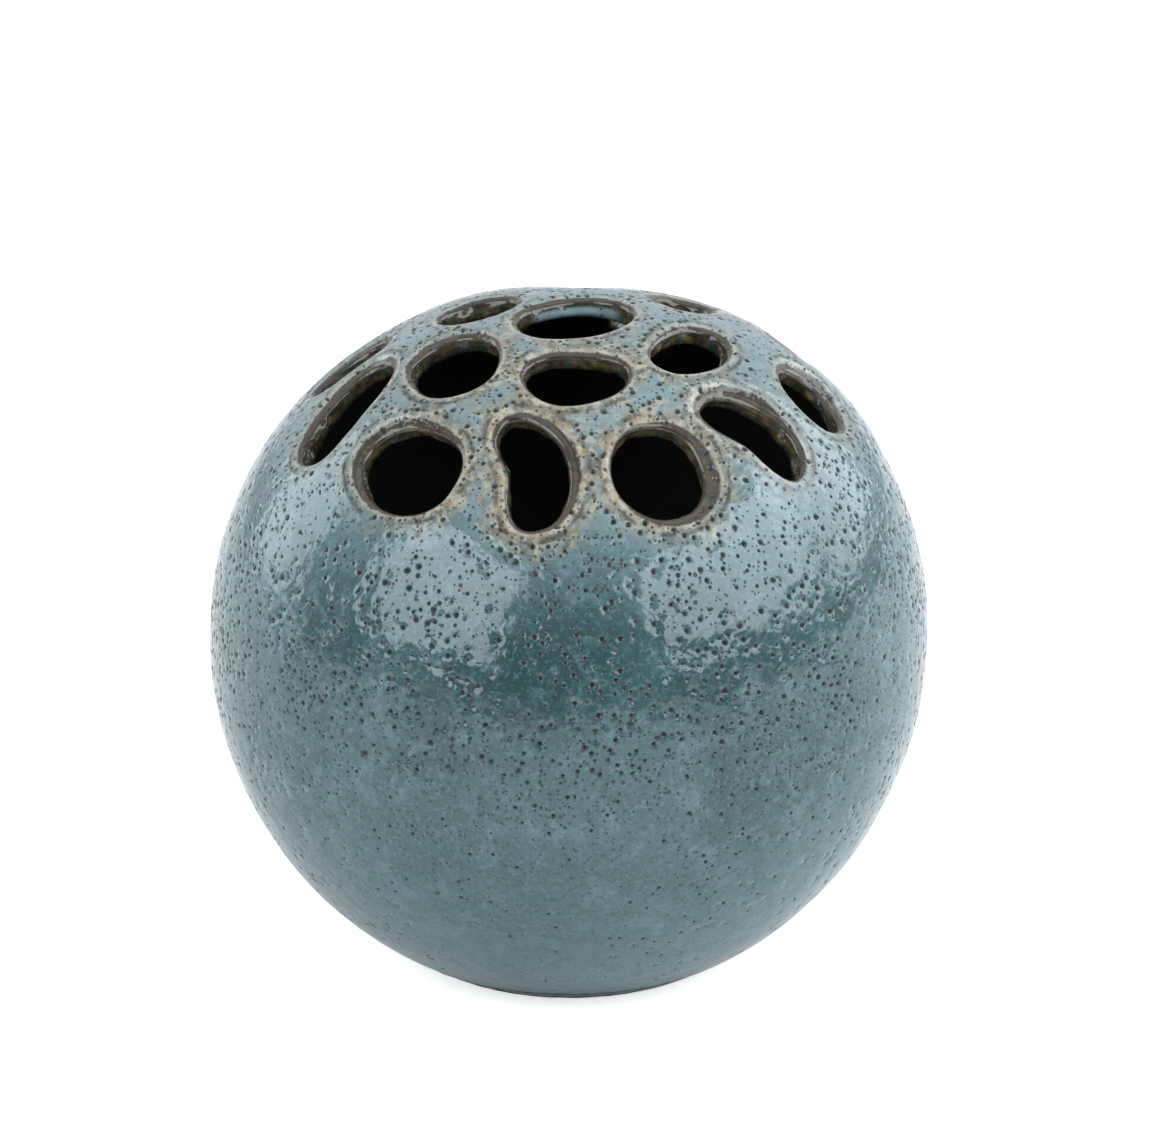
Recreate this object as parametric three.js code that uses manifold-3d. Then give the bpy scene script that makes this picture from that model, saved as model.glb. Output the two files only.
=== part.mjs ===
// Pierced ball vase, used as a flower frog: a hollow stoneware ball that holds water in its lower half
// and takes one stem in each hole of its upper half. Millimetres, +Z up. The origin is the middle of the
// foot, on the table; -Y is the front. The ball is put together from three members of clay that are luted
// into one before firing: a pierced dome, a bowl, and a turned foot ring.
import * as THREE from 'three';
import { mergeVertices } from 'three/addons/utils/BufferGeometryUtils.js';
import Module from 'manifold-3d';

// The ball
const EQUATOR_RADIUS = 75;
const EQUATOR_HEIGHT = 66;
const WALL = 5;
const DOME_RISE = 74;
const DOME_FULLNESS = 2.15;
const BOWL_DROP = 75;
const BOWL_FULLNESS = 1.97;

// The foot
const FOOT_HEIGHT = 3.5;
const FOOT_INNER_RADIUS = 28.5;
const FOOT_EDGE_ROUND = 0.7;
const BOWL_FLOOR = 5.5;

// The soft, dished rim that a wet sponge leaves around each stem hole
const RIM_WIDTH = 1.7;
const RIM_DEPTH = 1.9;
const RIM_OVERRUN = 3;
const NOTCH_WIDTH = 0.42;

const TURN_SEGMENTS = 48;
const PROFILE_STEPS = 11;
const HOLE_POINTS = 22;

// One row for each stem hole. azimuth: degrees round from the front, towards +X. polar: degrees down from
// the crown. long and short: the clear opening. turn: the long side's slope against the level, seen from
// outside. bend: how far the outline is bowed like a bean. taper: how much fatter one end is. square: 2 for
// an oval, more for blunter ends. notch: depth of a thumb-pressed dent in the hollow side of the bow. A row
// leaves out what it shares with the plain oval.
const PLAIN_OVAL = { bend: 0, taper: 0, square: 2.1, notch: 0 };
const STEM_HOLES = [
  // crown
  { azimuth: 20, polar: 2, long: 24.6, short: 20, turn: 8, taper: 0.04 },
  // upper ring
  { azimuth: 3, polar: 20.6, long: 21, short: 15.5, turn: 0, bend: -1.8, taper: -0.12, square: 2.2 },
  { azimuth: 62.5, polar: 21.6, long: 21.5, short: 12.8, turn: -3, bend: -0.6 },
  { azimuth: 123, polar: 22, long: 17, short: 13, turn: -40, taper: 0.1, square: 2 },
  { azimuth: 178, polar: 22.5, long: 17, short: 14, turn: 10, square: 2 },
  { azimuth: -113, polar: 16.5, long: 17, short: 13, turn: -40, taper: 0.05, square: 2 },
  { azimuth: -54.5, polar: 22.9, long: 21.4, short: 18.4, turn: -24, square: 2.2 },
  // lower ring
  { azimuth: -39.3, polar: 43, long: 24.2, short: 19.4, turn: -6, bend: -0.4, taper: 0.05 },
  { azimuth: -9.5, polar: 40, long: 26.2, short: 13.8, turn: -72,
    bend: 1.6, taper: 0.06, square: 2.25, notch: 1.7 },
  { azimuth: 21.3, polar: 41, long: 20.8, short: 19.4, turn: 90, square: 2.15 },
  { azimuth: 50.8, polar: 39.5, long: 24, short: 12.6, turn: -68,
    bend: 2, taper: 0.04, square: 2.3, notch: 0.8 },
  { azimuth: 79, polar: 41, long: 16.4, short: 15, turn: 60 },
  { azimuth: 110, polar: 41, long: 19, short: 13.6, turn: -70, bend: 0.8 },
  { azimuth: 135, polar: 42, long: 18, short: 16.5, turn: 0 },
  { azimuth: 161, polar: 41, long: 23, short: 12.5, turn: -84,
    bend: 1.6, taper: 0.06, square: 2.2, notch: 1 },
  { azimuth: -160, polar: 42, long: 19, short: 16, turn: 70 },
  { azimuth: -129, polar: 38.5, long: 19, short: 13, turn: -20, square: 2.2 },
  { azimuth: -98.5, polar: 38, long: 19.5, short: 12.2, turn: -74, square: 2.2 },
  { azimuth: -73, polar: 40, long: 28, short: 14.8, turn: -66, taper: 0.04, square: 2.3 },
].map((hole) => ({ ...PLAIN_OVAL, ...hole }));

const glaze = new THREE.MeshStandardMaterial({ color: 0x5f8a92, roughness: 0.22, metalness: 0 });
const bareClay = new THREE.MeshStandardMaterial({ color: 0xb89a7c, roughness: 0.85, metalness: 0 });

const wasm = await Module();
wasm.setup();

function toSolid(geometry) {
  const bare = geometry.clone();
  bare.deleteAttribute('normal');
  bare.deleteAttribute('uv');
  const merged = mergeVertices(bare, 1e-5);
  const index = merged.index.array;
  const triangles = [];
  for (let i = 0; i < index.length; i += 3) {
    const [a, b, c] = [index[i], index[i + 1], index[i + 2]];
    if (a !== b && b !== c && c !== a) triangles.push(a, b, c);
  }
  const vertProperties = new Float32Array(merged.attributes.position.array);
  const triVerts = new Uint32Array(triangles);
  return new wasm.Manifold(new wasm.Mesh({ numProp: 3, vertProperties, triVerts }));
}

function toGeometry(solid) {
  const mesh = solid.getMesh();
  const geometry = new THREE.BufferGeometry();
  geometry.setAttribute('position', new THREE.BufferAttribute(new Float32Array(mesh.vertProperties), 3));
  geometry.setIndex(new THREE.BufferAttribute(new Uint32Array(mesh.triVerts), 1));
  geometry.computeVertexNormals();
  return geometry;
}

function turned(profile) {
  const points = profile.map(([radius, height]) => new THREE.Vector2(radius, height));
  const geometry = new THREE.LatheGeometry(points, TURN_SEGMENTS);
  geometry.rotateX(Math.PI / 2);
  return geometry;
}

// Half-breadth of a superellipse of half-axes radius and rise, at a height along the rise
function breadthAt(height, radius, rise, fullness) {
  return radius * (1 - (height / rise) ** fullness) ** (1 / fullness);
}

// Points of a superellipse quarter from its equator towards its pole, ending at the angle `end`
function quarter(radius, rise, fullness, end) {
  const points = [];
  for (let i = 0; i <= PROFILE_STEPS; i += 1) {
    const angle = (end * i) / PROFILE_STEPS;
    points.push([radius * Math.cos(angle) ** (2 / fullness), rise * Math.sin(angle) ** (2 / fullness)]);
  }
  return points;
}

// Angle along the quarter at which it reaches a given height
function angleAt(height, rise, fullness) {
  return Math.asin((height / rise) ** (fullness / 2));
}

function domeShell() {
  const outside = quarter(EQUATOR_RADIUS, DOME_RISE, DOME_FULLNESS, Math.PI / 2);
  const inside = quarter(EQUATOR_RADIUS - WALL, DOME_RISE - WALL, DOME_FULLNESS, Math.PI / 2);
  outside[PROFILE_STEPS][0] = 0;
  inside[PROFILE_STEPS][0] = 0;
  const profile = [...inside.reverse(), ...outside];
  return turned(profile.map(([radius, rise]) => [radius, EQUATOR_HEIGHT + rise]));
}

function bowlShell() {
  const outsideDrop = EQUATOR_HEIGHT - FOOT_HEIGHT;
  const insideDrop = outsideDrop - BOWL_FLOOR;
  const outsideEnd = angleAt(outsideDrop, BOWL_DROP, BOWL_FULLNESS);
  const insideEnd = angleAt(insideDrop, BOWL_DROP - WALL, BOWL_FULLNESS);
  const outside = quarter(EQUATOR_RADIUS, BOWL_DROP, BOWL_FULLNESS, outsideEnd);
  const inside = quarter(EQUATOR_RADIUS - WALL, BOWL_DROP - WALL, BOWL_FULLNESS, insideEnd);
  const profile = [[0, outsideDrop], ...outside.reverse(), ...inside, [0, insideDrop]];
  return turned(profile.map(([radius, drop]) => [radius, EQUATOR_HEIGHT - drop]));
}

function footRing() {
  const top = breadthAt(EQUATOR_HEIGHT - FOOT_HEIGHT, EQUATOR_RADIUS, BOWL_DROP, BOWL_FULLNESS);
  const middle = breadthAt(EQUATOR_HEIGHT - FOOT_HEIGHT / 2, EQUATOR_RADIUS, BOWL_DROP, BOWL_FULLNESS);
  const bottom = breadthAt(EQUATOR_HEIGHT - FOOT_EDGE_ROUND, EQUATOR_RADIUS, BOWL_DROP, BOWL_FULLNESS);
  return turned([
    [FOOT_INNER_RADIUS, FOOT_HEIGHT],
    [FOOT_INNER_RADIUS, FOOT_EDGE_ROUND],
    [FOOT_INNER_RADIUS + FOOT_EDGE_ROUND, 0],
    [bottom - FOOT_EDGE_ROUND, 0],
    [bottom, FOOT_EDGE_ROUND],
    [middle, FOOT_HEIGHT / 2],
    [top, FOOT_HEIGHT],
    [FOOT_INNER_RADIUS, FOOT_HEIGHT],
  ]);
}

// Outline of a stem hole in the plane it is cut in, moved outwards by `grow`
function holeOutline(hole, grow) {
  const turn = THREE.MathUtils.degToRad(hole.turn);
  const outline = [];
  for (let i = 0; i < HOLE_POINTS; i += 1) {
    const angle = (2 * Math.PI * i) / HOLE_POINTS;
    const [cos, sin] = [Math.cos(angle), Math.sin(angle)];
    const spread = (Math.abs(cos) ** hole.square + Math.abs(sin) ** hole.square) ** (-1 / hole.square);
    const along = (hole.long / 2 + grow) * spread * cos;
    const bow = hole.bend * ((spread * cos) ** 2 - 0.5);
    const dent = hole.notch * Math.exp(-(((angle - 1.5 * Math.PI) / NOTCH_WIDTH) ** 2));
    const across = (hole.short / 2 + grow) * spread * sin * (1 + hole.taper * cos) - bow + dent;
    outline.push([
      along * Math.cos(turn) - across * Math.sin(turn),
      along * Math.sin(turn) + across * Math.cos(turn),
    ]);
  }
  return outline;
}

// Directions of a hole: out along its axis, level to the right, and up the slope of the dome
function holeAxes(hole) {
  const azimuth = THREE.MathUtils.degToRad(hole.azimuth);
  const polar = THREE.MathUtils.degToRad(hole.polar);
  const [sinA, cosA, sinP, cosP] = [Math.sin(azimuth), Math.cos(azimuth), Math.sin(polar), Math.cos(polar)];
  return {
    out: new THREE.Vector3(sinP * sinA, -sinP * cosA, cosP),
    level: new THREE.Vector3(cosA, sinA, 0),
    slope: new THREE.Vector3(-cosP * sinA, cosP * cosA, sinP),
  };
}

// How far out along the hole's axis the dome's outside lies, above one point of the outline
function reachOfSurface(start, out) {
  let low = 0;
  let high = 2 * EQUATOR_RADIUS;
  for (let step = 0; step < 40; step += 1) {
    const middle = (low + high) / 2;
    const point = start.clone().addScaledVector(out, middle);
    const radius = Math.hypot(point.x, point.y) / EQUATOR_RADIUS;
    const rise = Math.abs(point.z) / DOME_RISE;
    if (radius ** DOME_FULLNESS + rise ** DOME_FULLNESS < 1) low = middle;
    else high = middle;
  }
  return low;
}

// A ring of points of the cutter. `depth` is measured outwards from the dome's outside.
function cutterRing(hole, grow, depth) {
  const { out, level, slope } = holeAxes(hole);
  return holeOutline(hole, grow).map(([x, y]) => {
    const start = new THREE.Vector3().addScaledVector(level, x).addScaledVector(slope, y);
    return start.addScaledVector(out, reachOfSurface(start, out) + depth);
  });
}

// A closed body lofted through rings that have the same number of points
function loft(rings) {
  const count = rings[0].length;
  const positions = rings.flat().flatMap((point) => [point.x, point.y, point.z + EQUATOR_HEIGHT]);
  const index = [];
  for (let ring = 0; ring + 1 < rings.length; ring += 1) {
    for (let i = 0; i < count; i += 1) {
      const [a, b] = [ring * count + i, ring * count + ((i + 1) % count)];
      index.push(a, b, b + count, a, b + count, a + count);
    }
  }
  const last = (rings.length - 1) * count;
  for (let i = 1; i + 1 < count; i += 1) {
    index.push(0, i + 1, i);
    index.push(last, last + i, last + i + 1);
  }
  const geometry = new THREE.BufferGeometry();
  geometry.setAttribute('position', new THREE.BufferAttribute(new Float32Array(positions), 3));
  geometry.setIndex(index);
  return geometry;
}

function holeCutter(hole) {
  const flare = (RIM_WIDTH / RIM_DEPTH) * RIM_OVERRUN;
  return loft([
    cutterRing(hole, 0, -3 * WALL),
    cutterRing(hole, 0, -RIM_DEPTH),
    cutterRing(hole, RIM_WIDTH, 0),
    cutterRing(hole, RIM_WIDTH + flare, RIM_OVERRUN),
  ]);
}

function piercedDome() {
  let dome = toSolid(domeShell());
  for (const hole of STEM_HOLES) {
    dome = dome.subtract(toSolid(holeCutter(hole)));
  }
  return toGeometry(dome);
}

function addPiece(group, name, geometry, material) {
  const mesh = new THREE.Mesh(geometry, material);
  mesh.name = name;
  group.add(mesh);
}

const group = new THREE.Group();
group.name = 'flower_frog';
addPiece(group, 'pierced_dome', piercedDome(), glaze);
addPiece(group, 'lower_bowl', toGeometry(toSolid(bowlShell())), glaze);
addPiece(group, 'foot_ring', toGeometry(toSolid(footRing())), bareClay);

export default group;
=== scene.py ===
import math

import bmesh
import bpy
import numpy as np
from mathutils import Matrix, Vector
from mathutils.geometry import delaunay_2d_cdt
from mathutils.kdtree import KDTree


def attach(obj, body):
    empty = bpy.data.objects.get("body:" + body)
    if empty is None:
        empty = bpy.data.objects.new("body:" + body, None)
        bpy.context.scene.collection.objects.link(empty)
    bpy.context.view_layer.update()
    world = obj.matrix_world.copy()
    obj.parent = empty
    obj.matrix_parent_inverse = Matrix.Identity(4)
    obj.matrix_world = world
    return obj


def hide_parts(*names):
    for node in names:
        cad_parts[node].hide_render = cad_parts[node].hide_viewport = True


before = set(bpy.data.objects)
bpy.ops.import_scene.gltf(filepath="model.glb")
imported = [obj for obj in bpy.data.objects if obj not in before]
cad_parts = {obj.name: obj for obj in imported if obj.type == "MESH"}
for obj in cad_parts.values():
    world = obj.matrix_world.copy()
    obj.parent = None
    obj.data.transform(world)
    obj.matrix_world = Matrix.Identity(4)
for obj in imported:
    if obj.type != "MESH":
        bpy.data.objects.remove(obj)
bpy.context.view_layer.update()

# Looks of a pierced ball vase used as a flower frog. Shapes are worked out in millimetres and made in
# metres.

MM = 0.001

# The ball, as in the CAD
EQUATOR_RADIUS = 75.0
EQUATOR_HEIGHT = 66.0
WALL = 5.0
DOME_RISE = 74.0
DOME_FULLNESS = 2.15
BOWL_DROP = 75.0
BOWL_FULLNESS = 1.97
FOOT_HEIGHT = 3.5
FOOT_INNER_RADIUS = 28.5
BOWL_FLOOR = 5.5

# One row for each stem hole, as in the CAD: degrees round from the front, degrees down from the crown, the
# clear opening's long and short sides, the long side's slope, how far it is bowed like a bean, how much
# fatter one end is, how square the outline is, where 2 is an oval, and how deep a thumb-pressed dent is. The
# last two say on which side the rim has a pressed ledge, and how deep it is.
STEM_HOLES = (
    (20, 2, 24.6, 20, 8, 0, 0.04, 2.1, 0, 120, 0.5),
    (3, 20.6, 21, 15.5, 0, -1.8, -0.12, 2.2, 0, 90, 0.5),
    (62.5, 21.6, 21.5, 12.8, -3, -0.6, 0, 2.1, 0, 40, 0.5),
    (123, 22, 17, 13, -40, 0, 0.1, 2, 0, 10, 0.7),
    (178, 22.5, 17, 14, 10, 0, 0, 2, 0, 200, 0.4),
    (-113, 16.5, 17, 13, -40, 0, 0.05, 2, 0, 90, 0.6),
    (-54.5, 22.9, 21.4, 18.4, -24, 0, 0, 2.2, 0, 150, 0.6),
    (-39.3, 43, 24.2, 19.4, -6, -0.4, 0.05, 2.1, 0, 140, 1),
    (-9.5, 40, 26.2, 13.8, -72, 1.6, 0.06, 2.25, 1.7, 30, 1),
    (21.3, 41, 20.8, 19.4, 90, 0, 0, 2.15, 0, -20, 1.3),
    (50.8, 39.5, 24, 12.6, -68, 2, 0.04, 2.3, 0.8, 60, 1.3),
    (79, 41, 16.4, 15, 60, 0, 0, 2.1, 0, 0, 1.2),
    (110, 41, 19, 13.6, -70, 0.8, 0, 2.1, 0, 45, 0.5),
    (135, 42, 18, 16.5, 0, 0, 0, 2.1, 0, -60, 0.8),
    (161, 41, 23, 12.5, -84, 1.6, 0.06, 2.2, 1, 0, 0.6),
    (-160, 42, 19, 16, 70, 0, 0, 2.1, 0, 210, 0.7),
    (-129, 38.5, 19, 13, -20, 0, 0, 2.2, 0, 120, 0.5),
    (-98.5, 38, 19.5, 12.2, -74, 0, 0, 2.2, 0, 180, 0.7),
    (-73, 40, 28, 14.8, -66, 0, 0.04, 2.3, 0, 160, 0.8),
)

# The rim of a hole, from the wiped outside down into the cut
RIM_POINTS = 76
RIM_RINGS = (0.07, 0.25, 0.55, 0.95, 1.5, 2.2, 2.9)
RIM_ROUND_WIDTH = 1.8
RIM_ROUND_DEPTH = 1.25
LEDGE_WIDTH = 1.9
LEDGE_SLOPE = 1.1
CUT_STEPS = (0.05, 0.13, 0.25, 0.4, 0.56, 0.72, 0.85, 0.94)
LEDGE_GLAZE = 0.6
INNER_EDGE_ROUND = 0.8
# The skin dips a little for some way round each hole
DIP_DEPTH = 0.12
DIP_WIDTH = 6
# Angle from a hole's axis within which its rim is felt, in radians
RIM_REACH = 0.55
# Distance to a rim where there is none near
FAR = 30.0
# Rim points closer together than this are thinned out
RIM_POINT_GAP = 0.045
# Painted shade: how dark the walls of a hole are painted towards the inside, from 0 to 1
CUT_PAINTED_SHADE = 0.6
NOTCH_WIDTH = 0.42

# Evenness of the skin, and the open pinholes in it
SKIN_SPACING = 1.3
INSIDE_SPACING = 3.2
SEAM_POINTS = 440
FOOT_POINTS = 300
PIT_RINGS = ((0.6, 6, 0.82, 1.0), (1.0, 7, 0.16, 0.6), (1.5, 7, -0.035, 0.0))
SMALL_PIT_RINGS = ((0.75, 5, 0.75, 1.0), (1.35, 6, -0.03, 0.0))
SMALL_PIT = 0.27
DOME_PITS = 2900
BOWL_PITS = 1200

# Where the hand-made ball is fuller or flatter than a true one: degrees round, degrees down, breadth in
# degrees, and height
SWELLS = (
    (78, 34, 26, 2.0),
    (-110, 42, 20, -0.7),
    (175, 26, 14, -0.9),
    (82, 110, 24, -0.8),
    (-95, 92, 24, 0.5),
)


def unit(vectors):
    return vectors / np.linalg.norm(vectors, axis=-1, keepdims=True)


def reach(direction, inset=0.0):
    """Distance from the ball's centre to its skin in each direction."""
    upper = direction[:, 2] >= 0
    rise = np.where(upper, DOME_RISE, BOWL_DROP) - inset
    power = np.where(upper, DOME_FULLNESS, BOWL_FULLNESS)
    level = np.hypot(direction[:, 0], direction[:, 1])
    total = (level / (EQUATOR_RADIUS - inset)) ** power + (np.abs(direction[:, 2]) / rise) ** power
    return total ** (-1 / power)


def waves(points, shortest, longest, count, seed):
    """A smooth random field of about unit size, whose waves are between two lengths."""
    rng = np.random.default_rng(seed)
    axes = unit(rng.normal(size=(count, 3)))
    lengths = np.exp(rng.uniform(math.log(shortest), math.log(longest), count))
    phases = rng.uniform(0, 2 * math.pi, count)
    turns = points @ (axes * (2 * math.pi / lengths)[:, None]).T + phases
    return np.sin(turns).sum(1) / math.sqrt(count / 2)


def outward(azimuth, polar):
    a, p = math.radians(azimuth), math.radians(polar)
    return np.array([math.sin(p) * math.sin(a), -math.sin(p) * math.cos(a), math.cos(p)])


def swell(direction):
    """The broad rises and flats of the ball."""
    total = np.zeros(len(direction))
    for azimuth, polar, breadth, height in SWELLS:
        away = np.degrees(np.arccos(np.clip(direction @ outward(azimuth, polar), -1, 1)))
        total += height * np.exp(-((away / breadth) ** 2))
    return total


def wobble(direction):
    """How far the hand-made skin stands off the true ball."""
    points = direction * EQUATOR_RADIUS
    slow = 0.1 * waves(points, 70, 160, 12, 3)
    middle = 0.06 * waves(points, 18, 40, 24, 4)
    peel = 0.018 * waves(points, 4.5, 9, 48, 5)
    return swell(direction) + slow + middle + peel


class Hole:
    """One stem hole: its axes, its outline, and what its rim does to the skin."""

    def __init__(self, azimuth, polar, long, short, turn, bend, taper, square, notch,
                 ledge_side, ledge_depth):
        a, p = math.radians(azimuth), math.radians(polar)
        self.out = outward(azimuth, polar)
        self.level = np.array([math.cos(a), math.sin(a), 0.0])
        self.slope = np.array([-math.cos(p) * math.sin(a), math.cos(p) * math.cos(a), math.sin(p)])
        self.rise = swell(self.out[None])[0]
        self.ledge_side = math.radians(ledge_side)
        self.ledge_depth = ledge_depth
        self.ledge_width = LEDGE_WIDTH * math.sqrt(ledge_depth)
        angle = np.linspace(0, 2 * math.pi, RIM_POINTS, endpoint=False)
        cos, sin = np.cos(angle), np.sin(angle)
        spread = (np.abs(cos) ** square + np.abs(sin) ** square) ** (-1 / square)
        along = long / 2 * spread * cos
        across = short / 2 * spread * sin * (1 + taper * cos) - bend * ((spread * cos) ** 2 - 0.5)
        across += notch * np.exp(-(((angle - 1.5 * math.pi) / NOTCH_WIDTH) ** 2))
        t = math.radians(turn)
        rough = 1 + 0.012 * np.sin(3 * angle + azimuth) + 0.01 * np.sin(5 * angle + polar + azimuth)
        x = (along * math.cos(t) - across * math.sin(t)) * rough
        y = (along * math.sin(t) + across * math.cos(t)) * rough
        self.outline = np.stack([x, y], 1)
        edge = np.roll(self.outline, -1, 0) - np.roll(self.outline, 1, 0)
        self.outward = unit(np.stack([edge[:, 1], -edge[:, 0]], 1))

    def offset(self, grow):
        return self.outline + self.outward * grow

    def in_space(self, flat):
        return flat[:, :1] * self.level + flat[:, 1:] * self.slope

    def pierce(self, flat, inset=0.0):
        """Where lines along the hole's axis through flat points meet the ball's skin, from its centre."""
        start = self.in_space(flat)
        low = np.zeros(len(flat))
        high = np.full(len(flat), 2 * EQUATOR_RADIUS)
        for _ in range(40):
            middle = (low + high) / 2
            points = start + self.out * middle[:, None]
            size = np.linalg.norm(points, axis=1)
            within = size < reach(points / size[:, None], inset)
            low = np.where(within, middle, low)
            high = np.where(within, high, middle)
        return start + self.out * low[:, None]

    def distance(self, points):
        """Distance of points on the skin from the outline, negative within it, and their angle round it."""
        flat = np.stack([points @ self.level, points @ self.slope], 1)
        a = self.outline
        b = np.roll(a, -1, 0)
        edge = b - a
        best = np.full(len(flat), 1e9)
        crossings = np.zeros(len(flat), int)
        for i in range(len(a)):
            away = flat - a[i]
            share = np.clip(away @ edge[i] / (edge[i] @ edge[i]), 0, 1)
            best = np.minimum(best, np.hypot(*(away - share[:, None] * edge[i]).T))
            straddles = (a[i, 1] > flat[:, 1]) != (b[i, 1] > flat[:, 1])
            if straddles.any():
                at = a[i, 0] + (flat[:, 1] - a[i, 1]) / (edge[i, 1] if edge[i, 1] else 1) * edge[i, 0]
                crossings += straddles & (flat[:, 0] < at)
        return np.where(crossings % 2 == 1, -best, best), np.arctan2(flat[:, 1], flat[:, 0])

    def ledge(self, angle):
        """How fully the ledge is pressed at this angle round the rim."""
        return (0.5 + 0.5 * np.cos(angle - self.ledge_side)) ** 1.5

    def dish(self, distance, angle):
        """Depth of the wiped rim below the skin."""
        x = np.clip(1 - distance / RIM_ROUND_WIDTH, 0, 1)
        rounded = RIM_ROUND_DEPTH * (1 - np.sqrt(1 - x * x))
        step = np.clip((self.ledge_width - distance) / LEDGE_SLOPE + 1, 0, 1)
        step = step * step * (3 - 2 * step)
        pressed = self.ledge_depth * step * self.ledge(angle)
        return rounded + pressed + DIP_DEPTH * np.exp(-((distance / DIP_WIDTH) ** 2))


HOLES = [Hole(*row) for row in STEM_HOLES]


def rim_fields(direction):
    """The dish of all rims at these directions, and the distance to the nearest outline."""
    return all_rims(direction)[:2]


def all_rims(direction):
    """The rims' dish, the distance to the nearest outline and to the nearest lip, and the share of ledge."""
    points = direction * reach(direction)[:, None]
    depth = np.zeros(len(direction))
    nearest = np.full(len(direction), FAR)
    lip = nearest.copy()
    ledge = np.zeros(len(direction))
    for hole in HOLES:
        near = np.flatnonzero(direction @ hole.out > math.cos(RIM_REACH))
        if len(near) == 0:
            continue
        distance, angle = hole.distance(points[near])
        pressed = hole.ledge(angle) * min(1, hole.ledge_depth)
        depth[near] += hole.dish(np.maximum(distance, 0), angle)
        nearest[near] = np.minimum(nearest[near], distance)
        lip[near] = np.minimum(lip[near], distance - hole.ledge_width * pressed)
        within = np.clip((hole.ledge_width - distance) / 0.8, 0, 1)
        ledge[near] = np.maximum(ledge[near], LEDGE_GLAZE * pressed * within)
    return depth, nearest, lip, ledge


def lattice(spacing, upper):
    """Evenly spread directions over the upper or lower half."""
    count = int(4 * math.pi * EQUATOR_RADIUS**2 / (0.866 * spacing**2))
    i = np.arange(count) + 0.5
    z = 1 - 2 * i / count
    turn = i * math.pi * (3 - math.sqrt(5))
    level = np.sqrt(1 - z * z)
    every = np.stack([level * np.cos(turn), level * np.sin(turn), z], 1)
    return every[every[:, 2] > 0] if upper else every[every[:, 2] < 0]


def tangents(direction):
    """Two directions along the skin: level, and up the slope."""
    level = unit(np.stack([-direction[:, 1], direction[:, 0], np.zeros(len(direction))], 1))
    return level, np.cross(direction, level)


def scatter_pits(count, upper, seed):
    """Directions and radii of pinholes, thickest over the shoulder and thinner towards the foot."""
    rng = np.random.default_rng(seed)
    tries = unit(rng.normal(size=(count * 5, 3)))
    tries[:, 2] = np.abs(tries[:, 2]) * (1 if upper else -1)
    z = tries[:, 2]
    patch = 0.6 + 0.3 * waves(tries * EQUATOR_RADIUS, 14, 40, 20, seed + 1)
    share = np.clip(patch, 0.25, 1) * (1.0 if upper else np.clip(1.1 + 1.25 * z, 0.1, 1))
    size = rng.random(len(tries))
    largest = 0.58 if upper else 0.5 + 0.2 * z
    radius = 0.15 + (largest - 0.15) * size**2.3
    keep = rng.random(len(tries)) < share
    keep &= np.abs(z) * EQUATOR_RADIUS > 1.6 * radius + 0.35
    if upper:
        keep &= rim_fields(tries)[1] > 1.5 * radius + 0.5
    else:
        keep &= z > -0.79
    tries, radius = tries[keep], radius[keep]
    order = np.argsort(-radius)
    chosen = []
    chosen_at = np.zeros((0, 3))
    chosen_size = np.zeros(0)
    for i in order:
        gap = np.linalg.norm(chosen_at - tries[i], axis=1) * EQUATOR_RADIUS
        if (gap > 1.5 * (chosen_size + radius[i]) + 0.1).all():
            chosen.append(i)
            chosen_at = np.vstack([chosen_at, tries[i]])
            chosen_size = np.append(chosen_size, radius[i])
        if len(chosen) == count:
            break
    return tries[chosen], radius[chosen]


def pit_points(at, radius, ring_plan, seed):
    """Ring points round each pinhole: directions, sink below the skin, and darkness."""
    rng = np.random.default_rng(seed)
    level, slope = tangents(at)
    depth = radius * rng.uniform(0.7, 1.3, len(at))
    directions, sinks, darks = [at], [depth], [np.ones(len(at))]
    for share, count, sink, dark in ring_plan:
        start = rng.uniform(0, 2 * math.pi, len(at))
        for k in range(count):
            angle = start + 2 * math.pi * k / count
            size = radius * share * rng.uniform(0.93, 1.07, len(at)) / EQUATOR_RADIUS
            shift = level * (np.cos(angle) * size)[:, None] + slope * (np.sin(angle) * size)[:, None]
            directions.append(unit(at + shift))
            sinks.append(depth * sink)
            darks.append(np.full(len(at), dark))
    return np.concatenate(directions), np.concatenate(sinks), np.concatenate(darks)


def clear_of(points, others, gap):
    """Those of the points that keep their distance from the others."""
    tree = KDTree(len(others))
    for i, other in enumerate(others):
        tree.insert(other, i)
    tree.balance()
    return np.array([tree.find(point)[2] > gap for point in points])


def spread_flat(direction, upper):
    """The upper or lower half laid out flat, keeping angles."""
    return direction[:, :2] / (1 + direction[:, 2:] * (1 if upper else -1))


def triangulate(flat, loops):
    """Triangles between flat points. Each loop is a closed line of point numbers that stays open inside."""
    edges = [(loop[i], loop[(i + 1) % len(loop)]) for loop in loops for i in range(len(loop))]
    result = delaunay_2d_cdt([Vector(p) for p in flat.tolist()], edges, [], 0, 1e-9)
    source = np.array([origin[0] if origin else -1 for origin in result[3]])
    faces = source[np.array(result[2])]
    owner = np.full(len(flat), -1)
    for number, loop in enumerate(loops):
        owner[loop] = number
    owners = owner[faces]
    within = (owners[:, 0] >= 0) & (owners[:, 0] == owners[:, 1]) & (owners[:, 0] == owners[:, 2])
    return faces[~within]


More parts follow.
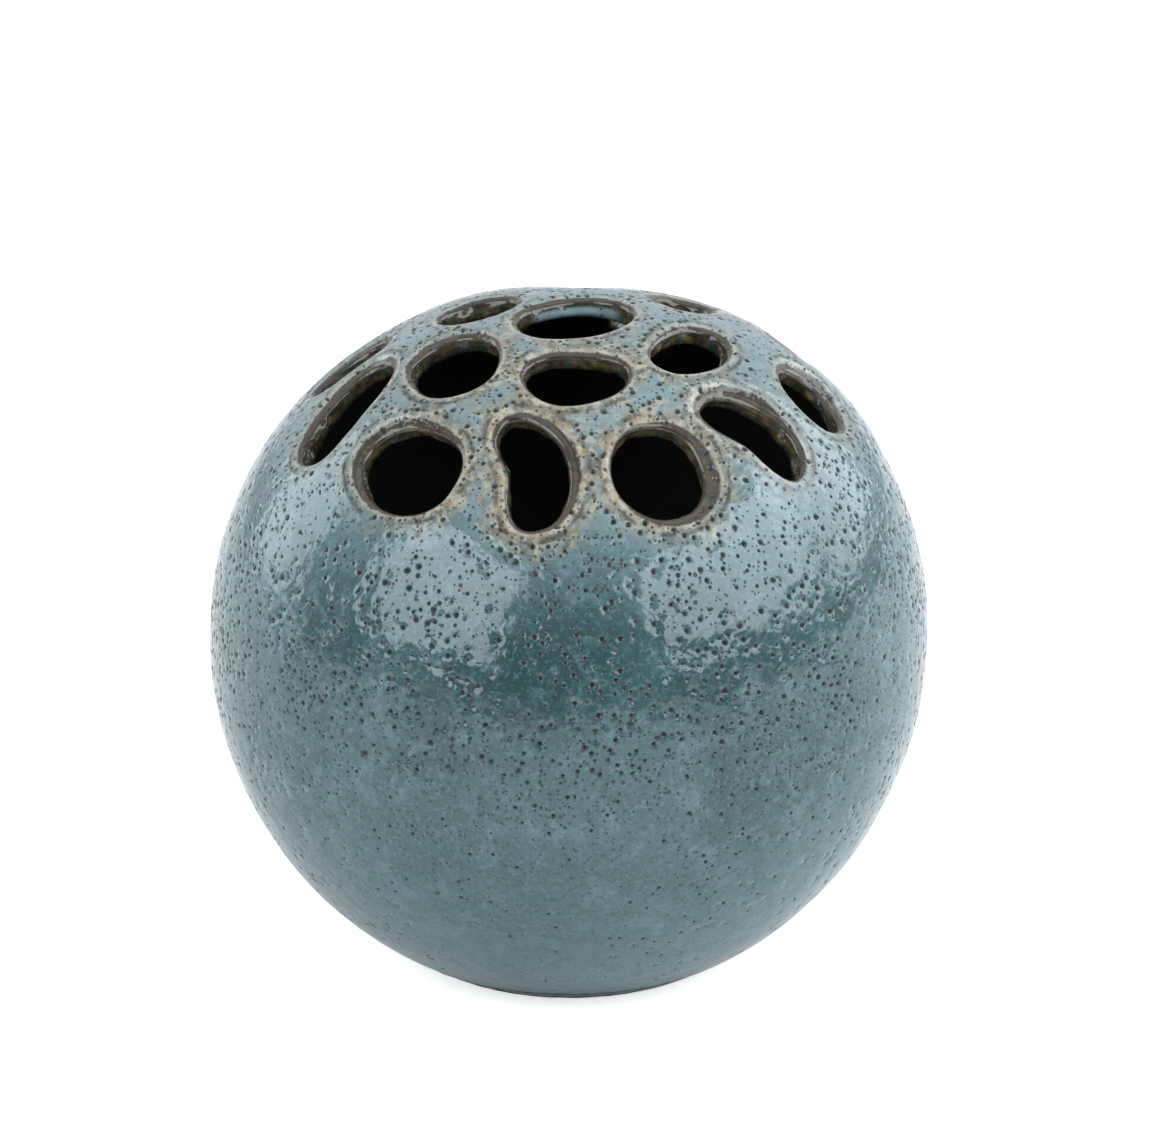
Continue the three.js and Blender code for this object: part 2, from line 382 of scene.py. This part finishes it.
class Skin:
    """Points, triangles and per-point values of one piece."""

    def __init__(self):
        self.points = np.zeros((0, 3))
        self.faces = []
        # The inside field carries the painted shade of the hollow: 1 on the inner skin, less up the walls of
        # the holes
        self.fields = {name: np.zeros(0) for name in ("pit", "rim", "cut", "inside", "bare")}

    def add(self, points, **fields):
        first = len(self.points)
        self.points = np.vstack([self.points, points])
        for name, values in self.fields.items():
            added = fields.get(name, 0.0)
            self.fields[name] = np.concatenate([values, np.broadcast_to(added, len(points))])
        return np.arange(first, first + len(points))

    def strip(self, lower, upper):
        """Triangles between two closed rings of equally many points."""
        a, b = lower, np.roll(lower, -1)
        c, d = np.roll(upper, -1), upper
        self.faces.append(np.stack([a, b, c], 1))
        self.faces.append(np.stack([a, c, d], 1))


def level_ring(count):
    """Evenly spread level directions."""
    angle = np.linspace(0, 2 * math.pi, count, endpoint=False)
    return np.stack([np.cos(angle), np.sin(angle), np.zeros(count)], 1)


def seam_ring():
    """The level ring where dome and bowl meet."""
    return level_ring(SEAM_POINTS)


def bowl_radius(drop):
    """Radius of the bowl's outside at this drop below the equator."""
    return EQUATOR_RADIUS * (1 - (drop / BOWL_DROP) ** BOWL_FULLNESS) ** (1 / BOWL_FULLNESS)


def foot_edge_direction():
    """The level ring where the bowl's outside meets the foot ring."""
    drop = EQUATOR_HEIGHT - FOOT_HEIGHT
    return unit(level_ring(FOOT_POINTS) * bowl_radius(drop) - [0, 0, drop])


def outside_half(skin, upper, pits, seed):
    """The outside of one half. Returns the point numbers of its seam and of its other loops."""
    seam = seam_ring()
    if upper:
        loops = [unit(hole.pierce(hole.outline)) for hole in HOLES]
        rings = [unit(hole.pierce(hole.offset(grow))) for hole in HOLES for grow in RIM_RINGS]
        rings = np.concatenate(rings)
        owner_gap = np.tile(np.repeat(RIM_RINGS, RIM_POINTS), len(HOLES))
        rings = rings[rim_fields(rings)[1] > 0.82 * owner_gap]
        rings = thin(rings, RIM_POINT_GAP)
    else:
        loops = [foot_edge_direction()]
        rings = np.zeros((0, 3))
    pit_at, pit_radius = scatter_pits(pits, upper, seed)
    small = pit_radius < SMALL_PIT
    fine_pits = pit_points(pit_at[small], pit_radius[small], SMALL_PIT_RINGS, seed + 7)
    wide_pits = pit_points(pit_at[~small], pit_radius[~small], PIT_RINGS, seed + 8)
    pit_directions, pit_sinks, pit_darks = (np.concatenate(pair) for pair in zip(fine_pits, wide_pits))
    fixed = np.concatenate([seam, *loops])
    if len(rings):
        rings = rings[clear_of(rings, pit_at, 1.3 * pit_radius.max() / EQUATOR_RADIUS)]
    fine = lattice(SKIN_SPACING, upper)
    if upper:
        fine = fine[rim_fields(fine)[1] > 0.3]
    else:
        fine = fine[fine[:, 2] > foot_edge_direction()[0, 2] + 0.008]
    taken = np.concatenate([fixed, rings, pit_directions])
    fine = fine[clear_of(fine, taken, 0.58 * SKIN_SPACING / EQUATOR_RADIUS)]
    direction = np.concatenate([fixed, rings, fine, pit_directions])
    plain = (0.0, FAR, np.full(len(direction), FAR), 0.0)
    dish, _, lip, ledge = all_rims(direction) if upper else plain
    height = reach(direction) + wobble(direction) * settle(direction) - dish
    sinks = np.zeros(len(direction))
    darks = np.zeros(len(direction))
    sinks[-len(pit_directions):] = pit_sinks
    darks[-len(pit_directions):] = pit_darks
    points = direction * (height - sinks)[:, None]
    points[:, 2] += EQUATOR_HEIGHT
    numbers = skin.add(points, pit=darks, rim=np.clip(lip, 0, 20), cut=ledge)
    loop_numbers = []
    first = SEAM_POINTS
    for loop in loops:
        loop_numbers.append(numbers[first:first + len(loop)])
        first += len(loop)
    local = [loop - numbers[0] for loop in loop_numbers]
    faces = triangulate(spread_flat(direction, upper), local)
    skin.faces.append(numbers[0] + (faces if upper else faces[:, ::-1]))
    return numbers[:SEAM_POINTS], loop_numbers


def thin(points, gap):
    """Drops points that crowd earlier ones."""
    gap = gap / EQUATOR_RADIUS
    cells = np.floor(points / gap).astype(np.int64)
    _, first = np.unique(cells, axis=0, return_index=True)
    return points[np.sort(first)]


def settle(direction):
    """The wobble dies out towards the foot, so that the ball stands level."""
    return np.clip((direction[:, 2] + 0.86) / 0.25, 0, 1)


def cut_walls(skin, loops):
    """The walls of the stem holes, from the outside rim to the inside. Returns the inside loops."""
    centre = np.array([0, 0, EQUATOR_HEIGHT])
    ends = []
    for number, (hole, loop) in enumerate(zip(HOLES, loops)):
        top = skin.points[loop]
        bottom = hole.pierce(hole.outline, WALL) + hole.out * hole.rise + centre
        away = hole.in_space(hole.outward)
        previous = loop
        for share in CUT_STEPS:
            points = top + (bottom - top) * share
            bulge = 0.22 * waves(points, 3, 9, 16, 40 + number) * math.sin(math.pi * share)
            flare = INNER_EDGE_ROUND * max(0, (share - 0.6) / 0.4) ** 3 * 0.75
            points = points + away * (bulge - 0.25 * math.sin(math.pi * share) + flare)[:, None]
            # Painted shade: the deeper half of each wall is painted darker towards the inside, where shade
            # falls
            shade = CUT_PAINTED_SHADE * max(0, (share - 0.5) / 0.5)
            ring = skin.add(points, rim=0, cut=min(1, share / 0.15), inside=shade)
            skin.strip(ring, previous)
            previous = ring
        last = hole.pierce(hole.offset(INNER_EDGE_ROUND), WALL) + hole.out * hole.rise + centre
        # The inner edge gets the full painted shade of the walls
        ring = skin.add(last, rim=2, cut=1, inside=CUT_PAINTED_SHADE)
        skin.strip(ring, previous)
        ends.append(ring)
    return ends


def inside_dome(skin, loops):
    """The dome's inside. Returns its seam."""
    seam = seam_ring()
    loop_directions = [unit(skin.points[loop] - [0, 0, EQUATOR_HEIGHT]) for loop in loops]
    fine = lattice(INSIDE_SPACING, True)
    fine = fine[rim_fields(fine)[1] > 2.4]
    taken = np.concatenate([seam, *loop_directions])
    fine = fine[clear_of(fine, taken, 0.5 * INSIDE_SPACING / EQUATOR_RADIUS)]
    own = np.concatenate([seam, fine])
    level = np.clip(own[:, 2] / 0.3, 0, 1)
    points = own * (reach(own, WALL) + swell(own) * level)[:, None] + [0, 0, EQUATOR_HEIGHT]
    # The whole inside of the dome is marked for the painted shade of the hollow
    numbers = skin.add(points, rim=20, cut=1, inside=1)
    every = np.concatenate([own, *loop_directions])
    every_number = np.concatenate([numbers, *loops])
    local = []
    first = len(own)
    for loop in loops:
        local.append(np.arange(first, first + len(loop)))
        first += len(loop)
    faces = triangulate(spread_flat(every, True), local)
    skin.faces.append(every_number[faces][:, ::-1])
    return numbers[:SEAM_POINTS]


def seam_normals(direction):
    """True normals of the outside along the seam, so that dome and bowl shade as one."""
    level, slope = tangents(direction)
    step = 0.004

    def point(shift):
        moved = unit(direction + shift)
        return moved * (reach(moved) + wobble(moved))[:, None]

    across = point(level * step) - point(level * -step)
    along = point(slope * step) - point(slope * -step)
    return unit(np.cross(across, along))


def face_outwards(mesh):
    shell = bmesh.new()
    shell.from_mesh(mesh)
    bmesh.ops.recalc_face_normals(shell, faces=shell.faces)
    shell.to_mesh(mesh)
    shell.free()


def make_piece(name, skin, seam=None, inner_seam=None):
    """A mesh object from a skin, with its per-point values as attributes."""
    faces = np.concatenate(skin.faces)
    mesh = bpy.data.meshes.new(name)
    mesh.from_pydata((skin.points * MM).tolist(), [], faces.tolist())
    face_outwards(mesh)
    for field, values in skin.fields.items():
        attribute = mesh.attributes.new(field, "FLOAT", "POINT")
        attribute.data.foreach_set("value", values.astype(np.float32))
    mesh.validate()
    mesh.shade_smooth()
    if seam is not None:
        normals = np.empty(len(mesh.vertices) * 3, np.float32)
        mesh.vertex_normals.foreach_get("vector", normals)
        normals = normals.reshape(-1, 3)
        normals[seam] = seam_normals(seam_ring())
        normals[inner_seam] = -seam_ring()
        mesh.normals_split_custom_set_from_vertices(normals.tolist())
    piece = bpy.data.objects.new(name, mesh)
    bpy.context.scene.collection.objects.link(piece)
    return piece


def make_dome():
    skin = Skin()
    seam, loops = outside_half(skin, True, DOME_PITS, 11)
    ends = cut_walls(skin, loops)
    inner_seam = inside_dome(skin, ends)
    skin.strip(inner_seam, seam)
    return make_piece("glazed_dome", skin, seam, inner_seam)


def make_bowl():
    skin = Skin()
    seam, loops = outside_half(skin, False, BOWL_PITS, 23)
    edge = loops[0]
    turns = len(edge)
    angle = np.arctan2(skin.points[edge][:, 1], skin.points[edge][:, 0])
    circle = np.stack([np.cos(angle), np.sin(angle), np.zeros(turns)], 1)
    previous = edge
    for radius in (FOOT_INNER_RADIUS + 6, FOOT_INNER_RADIUS, 21, 14, 7):
        ring = skin.add(circle * radius + [0, 0, FOOT_HEIGHT], bare=1, rim=20)
        skin.strip(ring, previous)
        previous = ring
    middle = skin.add(np.array([[0, 0, FOOT_HEIGHT]]), bare=1, rim=20)[0]
    fan(skin, previous, middle, False)
    inner_seam = inside_bowl(skin)
    skin.strip(seam, inner_seam)
    return make_piece("glazed_bowl", skin, seam, inner_seam)


def fan(skin, ring, middle, facing_up):
    a, b = ring, np.roll(ring, -1)
    centre = np.full(len(ring), middle)
    skin.faces.append(np.stack([a, b, centre] if facing_up else [b, a, centre], 1))


def inside_bowl(skin):
    """The bowl's inside, turned. Returns its seam."""
    circle = seam_ring()
    lowest = EQUATOR_HEIGHT - FOOT_HEIGHT - BOWL_FLOOR
    end = math.asin((lowest / (BOWL_DROP - WALL)) ** (BOWL_FULLNESS / 2))
    first = previous = None
    for share in np.linspace(0, 1, 26):
        radius = (EQUATOR_RADIUS - WALL) * math.cos(end * share) ** (2 / BOWL_FULLNESS)
        drop = (BOWL_DROP - WALL) * math.sin(end * share) ** (2 / BOWL_FULLNESS)
        # The whole inside of the bowl is marked for the painted shade of the hollow
        ring = skin.add(circle * radius + [0, 0, EQUATOR_HEIGHT - drop], rim=20, cut=1, inside=1)
        if previous is None:
            first = ring
        else:
            skin.strip(previous, ring)
        previous = ring
    for radius in (24, 10):
        ring = skin.add(circle * radius + [0, 0, EQUATOR_HEIGHT - lowest], rim=20, cut=1, inside=1)
        skin.strip(previous, ring)
        previous = ring
    middle = skin.add(np.array([[0, 0, EQUATOR_HEIGHT - lowest]]), rim=20, cut=1, inside=1)[0]
    fan(skin, previous, middle, True)
    return first


def make_foot():
    """The turned foot ring: glazed down its side, bare where it stands."""
    circle = level_ring(FOOT_POINTS)
    skin = Skin()
    # Radius, height, and 1 where the clay is bare
    profile = []
    for height in (FOOT_HEIGHT, 2.9, 2.3, 1.8, 1.4, 1.05, 0.75, 0.5):
        profile.append((bowl_radius(EQUATOR_HEIGHT - height), height, 0))
    side = profile[-1][0]
    profile += [(side - 0.12, 0.26, 0), (side - 0.35, 0.09, 0), (side - 0.8, 0, 1), (side - 3.2, 0, 1)]
    inner = FOOT_INNER_RADIUS
    profile += [(inner + 0.9, 0, 1), (inner + 0.35, 0.1, 1), (inner + 0.08, 0.4, 1)]
    profile += [(inner, 1, 1), (inner, FOOT_HEIGHT, 1)]
    rings = []
    for radius, height, bare in profile:
        grain = 0.05 * waves(circle * radius, 3, 8, 20, 61) * (1 if 0 < height < FOOT_HEIGHT else 0)
        ring = skin.add(circle * (radius + grain[:, None]) + [0, 0, height], bare=bare, rim=20)
        rings.append(ring)
    for k, ring in enumerate(rings):
        skin.strip(rings[(k + 1) % len(rings)], ring)
    return make_piece("foot", skin)


# Materials

def srgb(red, green, blue):
    """A colour given in screen values from 0 to 255."""
    def linear(value):
        value /= 255
        return value / 12.92 if value <= 0.04045 else ((value + 0.055) / 1.055) ** 2.4
    return (linear(red), linear(green), linear(blue), 1.0)


class Nodes:
    """Short ways to add shader nodes to one material or world."""

    def __init__(self, owner):
        self.owner = owner
        owner.use_nodes = True
        self.tree = owner.node_tree
        self.tree.nodes.clear()

    def add(self, kind, inputs=None, **settings):
        made = self.tree.nodes.new("ShaderNode" + kind)
        for key, value in settings.items():
            setattr(made, key, value)
        for key, value in (inputs or {}).items():
            socket = made.inputs[key]
            if isinstance(value, bpy.types.NodeSocket):
                self.tree.links.new(value, socket)
            else:
                socket.default_value = value
        return made

    def math(self, operation, a, b=0.0, c=0.0):
        return self.add("Math", {0: a, 1: b, 2: c}, operation=operation).outputs[0]

    def value(self, name):
        return self.add("Attribute", attribute_name=name).outputs["Fac"]

    def noise(self, place, size, detail=3.0, roughness=0.5, distortion=0.0):
        """Noise whose main blobs are about `size` millimetres across."""
        inputs = {"Vector": place, "Scale": 1 / (size * MM), "Detail": detail, "Roughness": roughness,
                  "Distortion": distortion}
        return self.add("TexNoise", inputs).outputs["Fac"]

    def ramp(self, value, low, high, start=0.0, end=1.0):
        """start at and below low, end at and above high, smooth between them."""
        inputs = {"Value": value, "From Min": low, "From Max": high, "To Min": start, "To Max": end}
        return self.add("MapRange", inputs, interpolation_type="SMOOTHSTEP").outputs["Result"]

    def mix(self, share, a, b):
        made = self.add("Mix", data_type="RGBA")
        for socket, value in ((made.inputs[0], share), (made.inputs[6], a), (made.inputs[7], b)):
            if isinstance(value, bpy.types.NodeSocket):
                self.tree.links.new(value, socket)
            else:
                socket.default_value = value
        return made.outputs[2]

    def bump(self, height, distance, normal=None):
        inputs = {"Height": height, "Distance": distance * MM, "Strength": 1.0}
        if normal is not None:
            inputs["Normal"] = normal
        return self.add("Bump", inputs).outputs["Normal"]

    def finish(self, inputs):
        shader = self.add("BsdfPrincipled", inputs)
        self.add("OutputMaterial", {"Surface": shader.outputs[0]})
        return self.owner


TEAL = srgb(63, 89, 91)
DEEP_TEAL = srgb(32, 54, 52)
GREY_BLUE = srgb(98, 121, 127)
PALE_BLUE = srgb(132, 154, 161)
OLIVE = srgb(84, 76, 48)
CREAM = srgb(172, 160, 132)
OCHRE = srgb(130, 101, 58)
PALE_LIP = srgb(172, 162, 146)
# Painted light: the pale blue of a patch of light falling on the far wall of the crown hole
PAINTED_LIGHT_BLUE = srgb(132, 156, 164)
BROWN = srgb(44, 33, 24)
PIT_DARK = srgb(20, 22, 22)
# Painted shade: near-black standing in for the shadow inside the hollow ball, seen through the holes
INSIDE_PAINTED_SHADE = srgb(16, 18, 18)
CLAY = srgb(186, 158, 128)
CLAY_DARK = srgb(150, 120, 94)


# Where the glaze broke brown the most, and a painted patch of light on the back of the crown hole's wall
FLAME_SIDE = (-0.002, -0.04, 0.126)
CROWN_WALL_PAINTED_LIGHT = (0.001, 0.0078, 0.1362)


def pinholes(nodes, place, size, widest, share):
    """Small dark dots, one to a cell of about `size` mm. Only a share of the cells holds one."""
    cells = nodes.add("TexVoronoi", {"Vector": place, "Scale": 1 / (size * MM), "Randomness": 1.0})
    pick = nodes.add("SeparateColor", {"Color": cells.outputs["Color"]})
    radius = nodes.math("MULTIPLY", pick.outputs[0], widest)
    radius = nodes.math("MULTIPLY", radius, nodes.math("LESS_THAN", pick.outputs[1], share))
    edge = nodes.math("SUBTRACT", radius, cells.outputs["Distance"])
    return nodes.ramp(edge, 0.0, 0.05)


def glaze_ground(nodes, place, height, grain):
    """Teal that pools dark, clouds over to grey-blue, and turns paler towards the crown."""
    broad = nodes.noise(place, 40, 3, 0.5, 0.4)
    cloud = nodes.noise(place, 7, 5, 0.62, 0.8)
    fleck = nodes.noise(place, 0.42, 2, 0.6)
    teal = nodes.mix(nodes.ramp(broad, 0.3, 0.7, 0.25, 0.85), DEEP_TEAL, TEAL)
    teal = nodes.mix(nodes.ramp(cloud, 0.48, 0.72, 0, 0.45), teal, GREY_BLUE)
    teal = nodes.mix(nodes.ramp(cloud, 0.3, 0.46, 0.45, 0), teal, DEEP_TEAL)
    teal = nodes.mix(nodes.ramp(grain, 0.5, 0.66, 0, 0.42), teal, GREY_BLUE)
    teal = nodes.mix(nodes.ramp(fleck, 0.54, 0.66, 0, 0.6), teal, DEEP_TEAL)
    teal = nodes.mix(nodes.ramp(height, 0.02, 0.07, 0.45, 0), teal, TEAL)
    return nodes.mix(nodes.ramp(height, 0.092, 0.128, 0, 0.42), teal, PALE_BLUE)


def glaze_at_rims(nodes, place, rim, grain, teal):
    """Round the holes the glaze breaks to cream and ochre, most of all at the front, with brown lines and
    a pale lip. `rim` is the distance from the nearest lip in millimetres."""
    ragged = nodes.math("MULTIPLY_ADD", nodes.noise(place, 6.5, 4, 0.6, 0.8), 14.0, rim)
    broken = nodes.ramp(ragged, 8.0, 14.5, 1, 0)
    front = nodes.add("VectorMath", {0: place, 1: FLAME_SIDE}, operation="DISTANCE").outputs["Value"]
    broken = nodes.math("MULTIPLY", broken, nodes.ramp(front, 0.018, 0.05, 1.0, 0.35))
    warm = nodes.mix(nodes.ramp(nodes.noise(place, 2.0, 4, 0.65), 0.42, 0.6), OLIVE, CREAM)
    warm = nodes.mix(nodes.ramp(nodes.noise(place, 3.4, 3, 0.6), 0.47, 0.62, 0, 0.8), warm, OCHRE)
    warm = nodes.mix(nodes.ramp(grain, 0.48, 0.62, 0, 0.5), warm, GREY_BLUE)
    colour = nodes.mix(nodes.math("MULTIPLY", broken, 0.8), teal, warm)
    frayed = nodes.math("MULTIPLY_ADD", nodes.noise(place, 1.8, 3), 0.9, rim)
    second = nodes.math("MULTIPLY", nodes.ramp(frayed, 2.2, 2.7), nodes.ramp(frayed, 3.0, 3.7, 1, 0))
    second = nodes.math("MULTIPLY", second, nodes.ramp(nodes.noise(place, 5, 2), 0.42, 0.6, 0, 0.75))
    colour = nodes.mix(second, colour, BROWN)
    pale = nodes.ramp(nodes.noise(place, 6, 3), 0.4, 0.62, 0.1, 0.42)
    colour = nodes.mix(nodes.math("MULTIPLY", nodes.ramp(frayed, 1.6, 2.1, 1, 0), pale), colour, PALE_LIP)
    return nodes.mix(nodes.ramp(frayed, 0.85, 1.35, 0.95, 0), colour, BROWN)


def glaze_on_walls(nodes, place, height):
    """The walls of the holes: olive, dark teal and brown, and a painted patch of light in pale blue on the
    far wall of the crown hole.
    """
    walls = nodes.mix(nodes.ramp(nodes.noise(place, 2.6, 4, 0.6), 0.4, 0.65), OLIVE, DEEP_TEAL)
    walls = nodes.mix(nodes.ramp(nodes.noise(place, 1.8, 4, 0.6), 0.45, 0.62, 0, 0.8), walls, BROWN)
    # Painted light: a pale blue patch on the far wall of the crown hole, ending sharply at 137 mm height
    # like a shadow's edge
    crown = nodes.add("VectorMath", {0: place, 1: CROWN_WALL_PAINTED_LIGHT}, operation="DISTANCE").outputs["Value"]
    crown = nodes.ramp(crown, 0.0075, 0.0105, 0.8, 0)
    crown = nodes.math("MULTIPLY", crown, nodes.ramp(height, 0.137, 0.138, 1, 0))
    return nodes.mix(crown, walls, PAINTED_LIGHT_BLUE)


def glaze_material(name):
    nodes = Nodes(bpy.data.materials.new(name))
    place = nodes.add("TexCoord").outputs["Object"]
    height = nodes.add("SeparateXYZ", {"Vector": place}).outputs["Z"]
    pit, rim, cut, inside, bare = (nodes.value(field) for field in ("pit", "rim", "cut", "inside", "bare"))

    grain = nodes.noise(place, 1.0, 3, 0.7)
    colour = glaze_at_rims(nodes, place, rim, grain, glaze_ground(nodes, place, height, grain))
    colour = nodes.mix(nodes.math("MULTIPLY", cut, 0.9), colour, glaze_on_walls(nodes, place, height))
    # Painted shade: where the inside field is set, the glaze is painted near-black for the shadow within the
    # ball
    colour = nodes.mix(inside, colour, INSIDE_PAINTED_SHADE)

    wide, narrow = pinholes(nodes, place, 1.8, 0.3, 0.9), pinholes(nodes, place, 0.95, 0.4, 0.7)
    dots = nodes.math("MAXIMUM", wide, narrow)
    dots = nodes.math("MULTIPLY", dots, nodes.ramp(height, 0.02, 0.085, 0.35, 1.0))
    dots = nodes.math("MULTIPLY", dots, nodes.math("SUBTRACT", 1.0, inside))
    colour = nodes.mix(nodes.ramp(pit, 0.02, 0.35, 0, 0.55), colour, DEEP_TEAL)
    colour = nodes.mix(nodes.ramp(pit, 0.35, 0.8, 0, 0.92), colour, PIT_DARK)
    colour = nodes.mix(nodes.math("MULTIPLY", dots, 0.85), colour, PIT_DARK)
    colour = nodes.mix(bare, colour, nodes.mix(nodes.noise(place, 1.6, 5, 0.65), CLAY, CLAY_DARK))

    gloss = nodes.ramp(nodes.noise(place, 3, 4, 0.6), 0.3, 0.7, 0.09, 0.17)
    gloss = nodes.math("MAXIMUM", gloss, nodes.math("MULTIPLY", nodes.math("MAXIMUM", pit, dots), 0.6))
    gloss = nodes.math("MAXIMUM", gloss, nodes.math("MULTIPLY", bare, 0.8))
    gloss = nodes.math("MAXIMUM", gloss, nodes.math("MULTIPLY", inside, 0.6))

    normal = nodes.bump(nodes.noise(place, 4.0, 2, 0.5, 0.4), 0.2)
    normal = nodes.bump(nodes.noise(place, 1.3, 2, 0.5), 0.02, normal=normal)
    normal = nodes.bump(nodes.math("SUBTRACT", 1.0, dots), 0.15, normal=normal)
    return nodes.finish({"Base Color": colour, "Roughness": gloss, "Normal": normal, "IOR": 1.52})


# Scene

CAMERA_ELEVATION = 23
CAMERA_DISTANCE = 1.5
CAMERA_LENS = 220.7
# The frame's middle: a little right of the ball's axis and above its equator
FRAME_SHIFT = 0.0029
FRAME_LIFT = 0.0151

# Name, degrees round from the front towards +X, degrees up, distance, width, height and power
SOFTBOXES = (
    ("window_left", -48, 28, 0.9, 0.76, 0.58, 6.6),
    ("window_right", 60, 28, 0.9, 1.0, 0.58, 8.7),
    ("side_left", -113, 17, 0.9, 0.5, 0.6, 2.4),
    ("side_right", 112, 26, 0.9, 0.6, 0.7, 4.2),
    ("ceiling", 0, 84, 1.2, 1.3, 1.3, 4.6),
)
DAYLIGHT = (0.9, 0.96, 1.0)
# Height above the table that the lights point at
AIM_HEIGHT = 0.07

FLOOR_HALF = 6
FLOOR_GAP = 0.0002
FLOOR_GREY = (0.86, 0.86, 0.86, 1)
# How much the paper under the ball is lit from below
FLOOR_GLOW = 0.6
ROOM_DARK = (0.03, 0.035, 0.04, 1)
ROOM_LIGHT = (0.95, 0.97, 1.0, 1)


def look_at(thing, target):
    thing.rotation_euler = (Vector(target) - thing.location).to_track_quat("-Z", "Y").to_euler()


def add_camera():
    """Seen from 23 degrees above the table with a long lens."""
    camera = bpy.data.objects.new("camera", bpy.data.cameras.new("camera"))
    camera.data.lens = CAMERA_LENS
    camera.data.sensor_width = 36
    elevation = math.radians(CAMERA_ELEVATION)
    rise, back = math.cos(elevation), math.sin(elevation)
    target = Vector((FRAME_SHIFT, FRAME_LIFT * back, EQUATOR_HEIGHT * MM + FRAME_LIFT * rise))
    camera.location = target + Vector((0, -rise, back)) * CAMERA_DISTANCE
    look_at(camera, target)
    bpy.context.scene.collection.objects.link(camera)
    bpy.context.scene.camera = camera


def add_softbox(name, azimuth, elevation, distance, width, height, power):
    """A soft light aimed at the ball. Azimuth runs from the front towards +X."""
    light = bpy.data.lights.new(name, "AREA")
    light.shape = "RECTANGLE"
    light.size = width
    light.size_y = height
    light.energy = power
    light.color = DAYLIGHT
    lamp = bpy.data.objects.new(name, light)
    lamp.visible_camera = False
    a, e = math.radians(azimuth), math.radians(elevation)
    lamp.location = (
        distance * math.cos(e) * math.sin(a),
        -distance * math.cos(e) * math.cos(a),
        AIM_HEIGHT + distance * math.sin(e),
    )
    look_at(lamp, (0, 0, AIM_HEIGHT))
    bpy.context.scene.collection.objects.link(lamp)


def add_floor():
    """Pale paper that runs on past the frame on every side."""
    mesh = bpy.data.meshes.new("floor")
    corners = [(-FLOOR_HALF, -FLOOR_HALF), (FLOOR_HALF, -FLOOR_HALF), (FLOOR_HALF, FLOOR_HALF),
               (-FLOOR_HALF, FLOOR_HALF)]
    mesh.from_pydata([(x, y, -FLOOR_GAP) for x, y in corners], [], [(0, 1, 2, 3)])
    floor = bpy.data.objects.new("floor", mesh)
    bpy.context.scene.collection.objects.link(floor)
    nodes = Nodes(bpy.data.materials.new("floor_paper"))
    seen = nodes.add("LightPath").outputs["Is Camera Ray"]
    mesh.materials.append(nodes.finish({
        "Base Color": FLOOR_GREY,
        "Roughness": 0.9,
        "Emission Color": (1.0, 0.99, 0.98, 1),
        "Emission Strength": nodes.math("MULTIPLY", seen, FLOOR_GLOW),
    }))


def add_room():
    """A pale room: white behind, dimmer low in front, where the studio is dark."""
    world = bpy.data.worlds.new("room")
    nodes = Nodes(world)
    place = nodes.add("TexCoord").outputs["Generated"]
    split = nodes.add("SeparateXYZ", {0: place})
    behind = nodes.ramp(split.outputs["Y"], -0.35, 0.45)
    above = nodes.ramp(split.outputs["Z"], 0.35, 0.95, 0.0, 0.45)
    light = nodes.mix(nodes.math("MAXIMUM", behind, above), ROOM_DARK, ROOM_LIGHT)
    seen = nodes.add("LightPath").outputs["Is Camera Ray"]
    shade = nodes.add("Background", {0: nodes.mix(seen, light, (1.0, 1.0, 1.0, 1))})
    nodes.add("OutputWorld", {0: shade.outputs[0]})
    bpy.context.scene.world = world


dome, bowl, foot = make_dome(), make_bowl(), make_foot()
glaze = glaze_material("teal_glaze")
for piece, node, slot in (
    (dome, "pierced_dome", "teal_glaze"),
    (bowl, "lower_bowl", "teal_glaze"),
    (foot, "foot_ring", "bare_stoneware"),
):
    piece.data.materials.append(glaze)
    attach(piece, "root")
    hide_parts(node)
add_floor()
add_room()
add_camera()
for softbox in SOFTBOXES:
    add_softbox(*softbox)
bpy.context.scene.view_settings.view_transform = "Standard"
